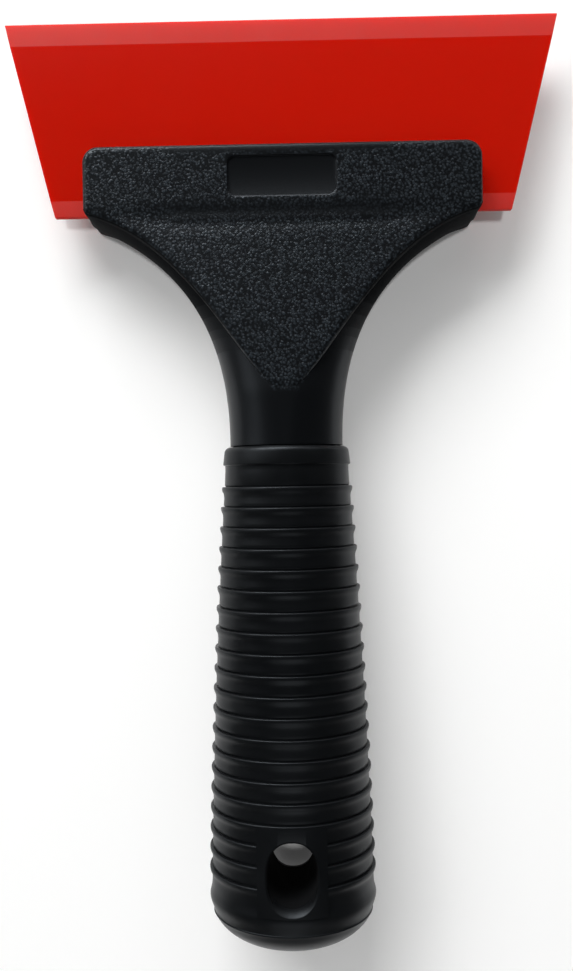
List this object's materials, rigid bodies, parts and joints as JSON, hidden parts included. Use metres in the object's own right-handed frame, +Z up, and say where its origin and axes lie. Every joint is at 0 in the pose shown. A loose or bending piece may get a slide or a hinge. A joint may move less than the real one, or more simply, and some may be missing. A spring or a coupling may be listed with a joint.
{
  "type": "plastic squeegee",
  "caption": "Short-handled scraping squeegee: a thick translucent red blade gripped in a wide black moulded head, with a ringed soft grip and a hanging hole.",
  "frame": {"origin": "centre of the bounding box at the level of the table that the tool lies on, on its back", "axes": "+X along the blade, +Y from the grip to the wiping edge, +Z up out of the front face; the handle's own axis is tipped 2.73 degrees blade end down, as the tool lies"},
  "size_m": [0.1404, 0.2352, 0.0347],
  "materials": {
    "red_urethane": "glossy translucent urethane, frosted on its bevels",
    "black_moulding": "pebble grain on the raised panels, satin on the flanks and neck",
    "black_vinyl": "smooth satin"
  },
  "bodies": {
    "handle": {"handle": "black_moulding", "grip_sleeve": "black_vinyl"},
    "blade": {"squeegee_blade": "red_urethane"}
  },
  "joints": [
    {"name": "blade_slide", "type": "slide", "parent": "handle", "child": "blade", "axis": [1, 0, 0], "range_m": [-0.112, 0.112]}
  ]
}
